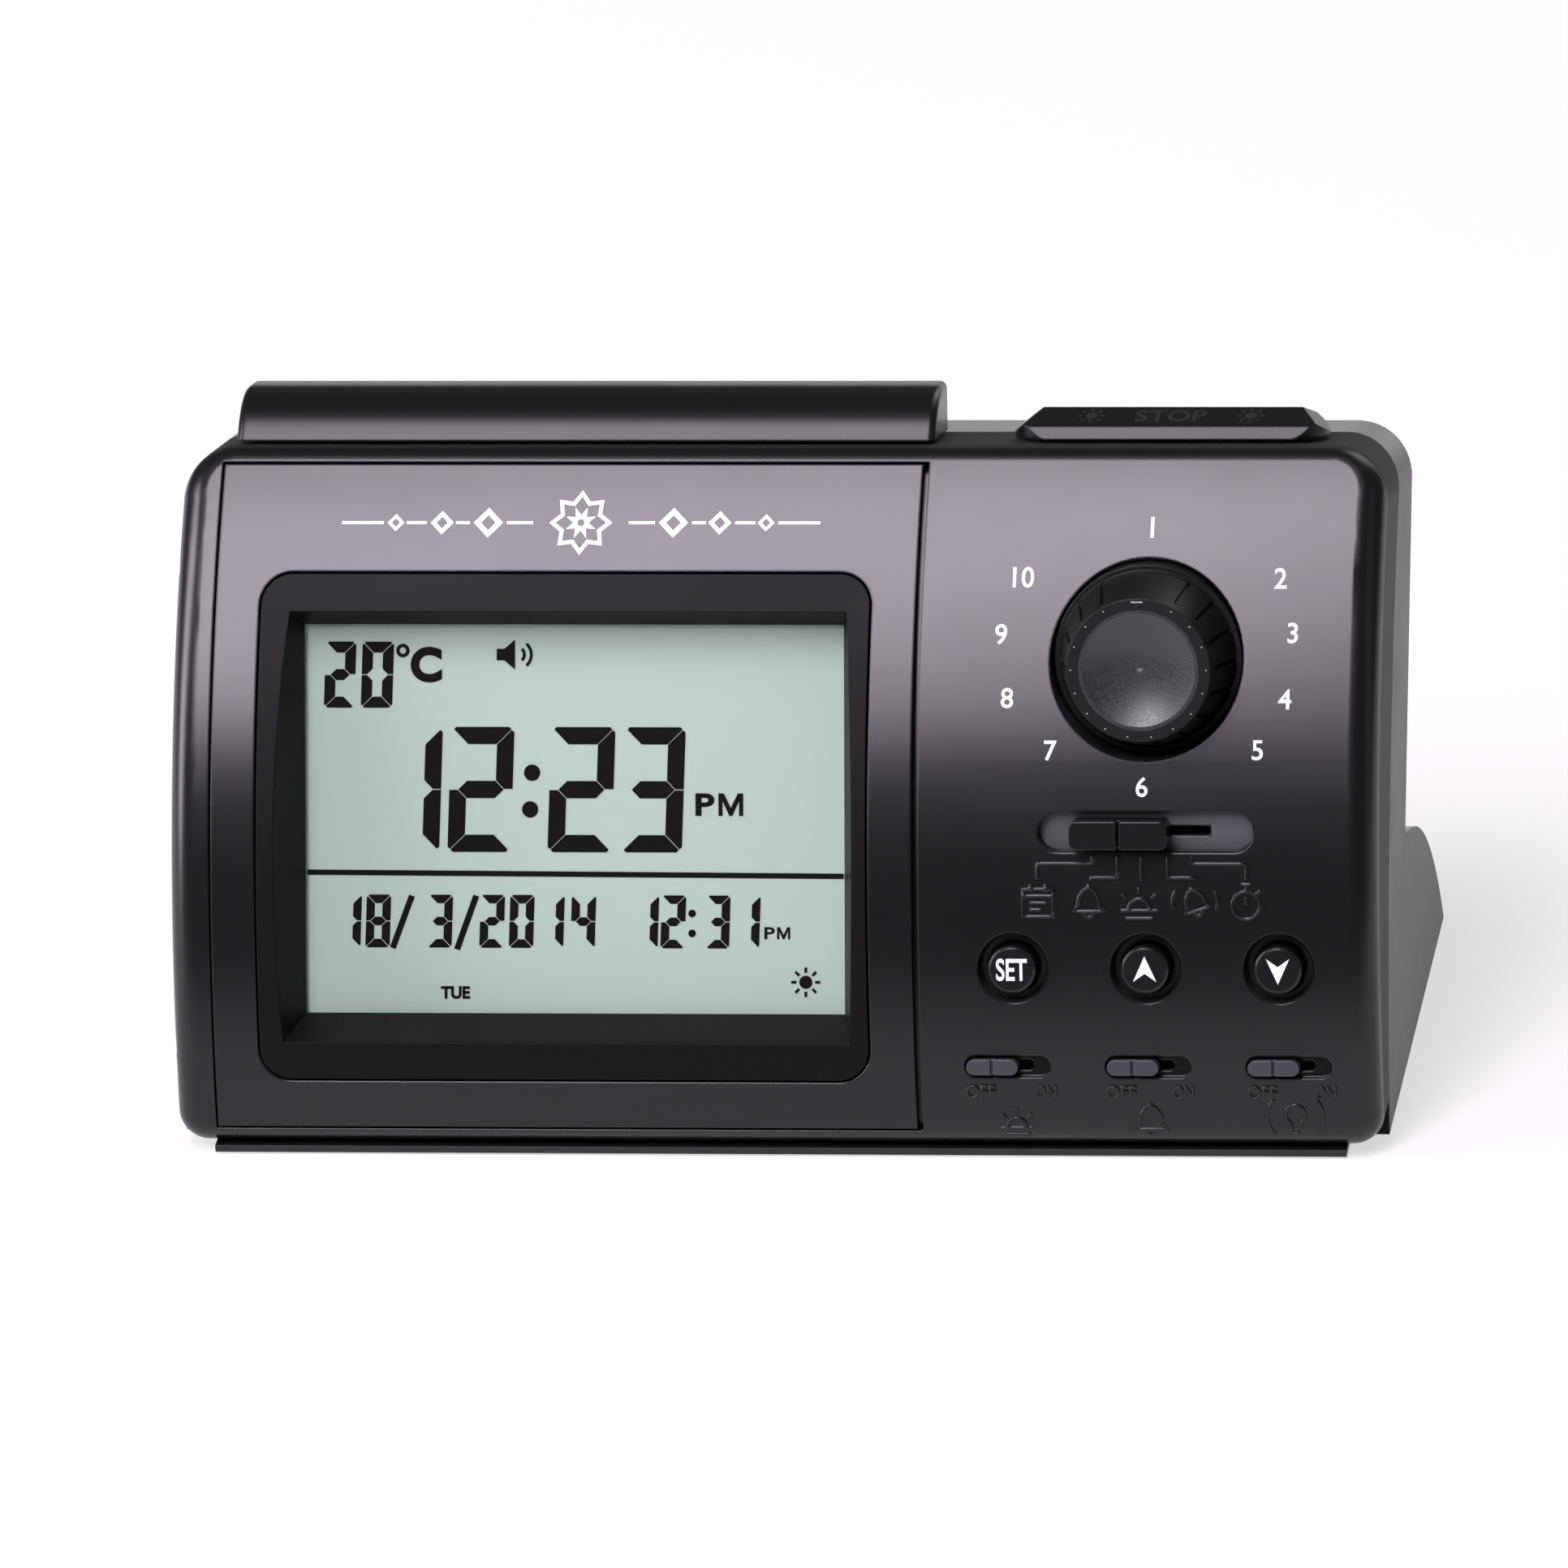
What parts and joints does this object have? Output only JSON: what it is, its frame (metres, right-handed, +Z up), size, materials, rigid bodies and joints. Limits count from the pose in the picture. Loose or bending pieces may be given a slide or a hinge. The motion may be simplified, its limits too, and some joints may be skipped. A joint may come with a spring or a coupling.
{
  "type": "digital table alarm clock",
  "caption": "Battery table clock: bowed front with wide display, turning selector knob, slide switches, round buttons and top press bars.",
  "frame": {"origin": "on the table under the middle of the clock's bounding box", "axes": "+X to the right of someone facing the display, +Y to the back, +Z up"},
  "size_m": [0.156, 0.0733, 0.0854],
  "materials": {
    "housing_plastic": "gloss",
    "control_plastic": "satin",
    "clear_lens": "polished",
    "display_glass": "satin",
    "light_guide": "satin",
    "rubber": "matte",
    "holder_plastic": "matte",
    "circuit_board": "solder resist",
    "electronic_parts": "moulded",
    "switch_plastic": "moulded",
    "screw_steel": "zinc plated",
    "contact_steel": "nickel plated",
    "cell_jacket": "shrink sleeve",
    "speaker_steel": "zinc plated",
    "speaker_paper": "coated paper",
    "magnet": "ferrite"
  },
  "bodies": {
    "housing": {"front_shell": "housing_plastic", "rear_shell": "housing_plastic", "display_cover": "housing_plastic", "bezel": "housing_plastic", "display_lens": "clear_lens", "display_cell": "display_glass", "light_guide": "light_guide", "contact_strips": "rubber", "display_holder": "holder_plastic", "main_board": "circuit_board", "main_board_screws": "screw_steel", "board_parts": "electronic_parts", "key_board": "circuit_board", "key_board_screws": "screw_steel", "push_switches": "switch_plastic", "slide_switches": "switch_plastic", "mode_switch": "switch_plastic", "selector_switch": "switch_plastic", "selector_board": "circuit_board", "top_board": "circuit_board", "top_board_screws": "screw_steel", "top_push_switches": "switch_plastic", "speaker_basket": "speaker_steel", "speaker_cone": "speaker_paper", "speaker_magnet": "magnet", "base_plate": "housing_plastic", "feet": "rubber", "base_screws": "screw_steel", "battery_cells": "cell_jacket", "battery_contacts": "contact_steel", "shell_screws": "screw_steel"},
    "selector_knob": {"knob": "control_plastic", "knob_cap": "control_plastic", "knob_shaft": "screw_steel"},
    "mode_slide_knob": {"mode_slider": "control_plastic"},
    "left_slide_knob": {"left_switch_slider": "control_plastic"},
    "middle_slide_knob": {"middle_switch_slider": "control_plastic"},
    "right_slide_knob": {"right_switch_slider": "control_plastic"},
    "set_key": {"set_button": "control_plastic"},
    "up_key": {"up_button": "control_plastic"},
    "down_key": {"down_button": "control_plastic"},
    "long_top_key": {"snooze_bar": "housing_plastic"},
    "short_top_key": {"stop_bar": "housing_plastic"},
    "door": {"battery_door": "housing_plastic"}
  },
  "joints": [
    {"name": "selector_turn", "type": "hinge", "parent": "housing", "child": "selector_knob", "pos_m": [0.0482, -0.01918, 0.06176], "axis": [0, -0.9613, 0.2756], "continuous": true},
    {"name": "mode_slide", "type": "slide", "parent": "housing", "child": "mode_slide_knob", "axis": [1, 0, 0], "range_m": [-0.0032, 0.0096]},
    {"name": "left_switch_slide", "type": "slide", "parent": "housing", "child": "left_slide_knob", "axis": [1, 0, 0], "range_m": [0, 0.0038]},
    {"name": "middle_switch_slide", "type": "slide", "parent": "housing", "child": "middle_slide_knob", "axis": [1, 0, 0], "range_m": [0, 0.0038]},
    {"name": "right_switch_slide", "type": "slide", "parent": "housing", "child": "right_slide_knob", "axis": [1, 0, 0], "range_m": [0, 0.0038]},
    {"name": "set_press", "type": "slide", "parent": "housing", "child": "set_key", "axis": [0, 0.9613, -0.2756], "range_m": [0, 0.0008], "stiffness_N_per_m": 400},
    {"name": "up_press", "type": "slide", "parent": "housing", "child": "up_key", "axis": [0, 0.9613, -0.2756], "range_m": [0, 0.0008], "stiffness_N_per_m": 400},
    {"name": "down_press", "type": "slide", "parent": "housing", "child": "down_key", "axis": [0, 0.9613, -0.2756], "range_m": [0, 0.0008], "stiffness_N_per_m": 400},
    {"name": "long_top_press", "type": "slide", "parent": "housing", "child": "long_top_key", "axis": [0, -0.2874, -0.9578], "range_m": [0, 0.0004], "stiffness_N_per_m": 1500},
    {"name": "short_top_press", "type": "slide", "parent": "housing", "child": "short_top_key", "axis": [0, -0.2874, -0.9578], "range_m": [0, 0.0004], "stiffness_N_per_m": 1500},
    {"name": "door_slide", "type": "slide", "parent": "housing", "child": "door", "axis": [0, 1, 0], "range_m": [0, 0.036]}
  ]
}
